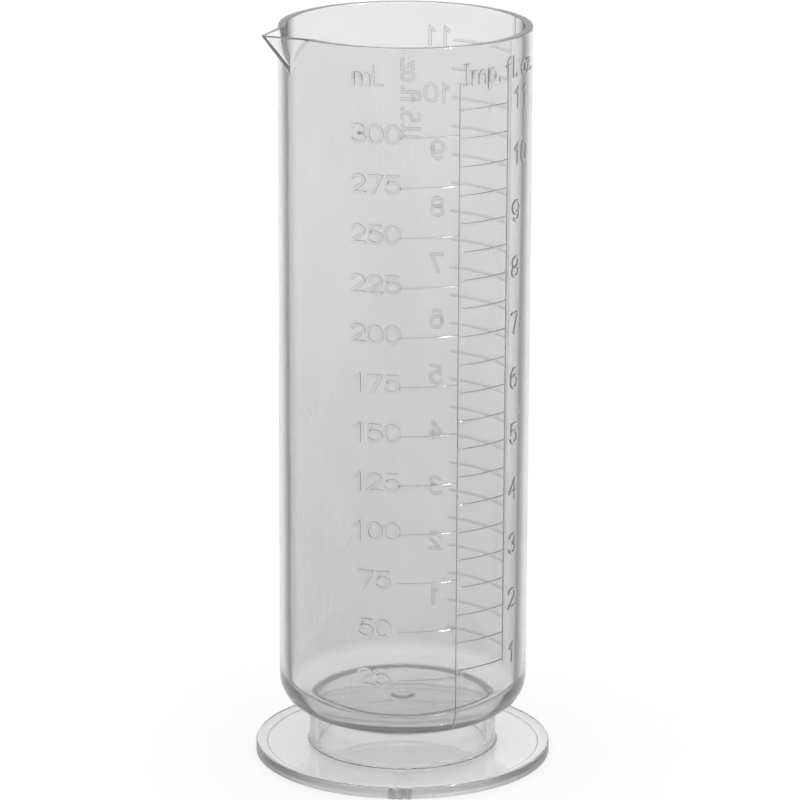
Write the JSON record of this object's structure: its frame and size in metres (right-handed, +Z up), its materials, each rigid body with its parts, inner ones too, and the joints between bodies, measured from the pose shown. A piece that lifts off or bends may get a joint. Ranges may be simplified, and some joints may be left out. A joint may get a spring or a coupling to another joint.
{
  "type": "graduated measuring cylinder",
  "caption": "Clear plastic measuring cylinder with a V-shaped pouring lip, raised volume scales and a round cemented foot, for measuring darkroom liquids.",
  "frame": {"origin": "centre of the foot's underside, on the surface that the cylinder stands on", "axes": "+Z up along the tube's axis; -X towards the tip of the pouring lip, to within one degree; -Y towards the rail shared by the millilitre and imperial scales"},
  "size_m": [0.0691, 0.068, 0.171],
  "materials": {
    "tube_plastic": "clear moulded polystyrene with a slight grey cast, polished, with fine handling scratches",
    "foot_plastic": "clear moulded polystyrene with a slight grey cast, polished, with fine scuffs and a trimmed gate on its edge",
    "cement": "hardened solvent cement, clear and slightly cloudy, with small bubbles",
    "scale_relief": "raised lines and figures of the same clear plastic, a little frosted on their faces"
  },
  "bodies": {
    "root": {"cylinder_body": "tube_plastic", "foot": "foot_plastic", "cement_ring": "cement"}
  },
  "joints": []
}
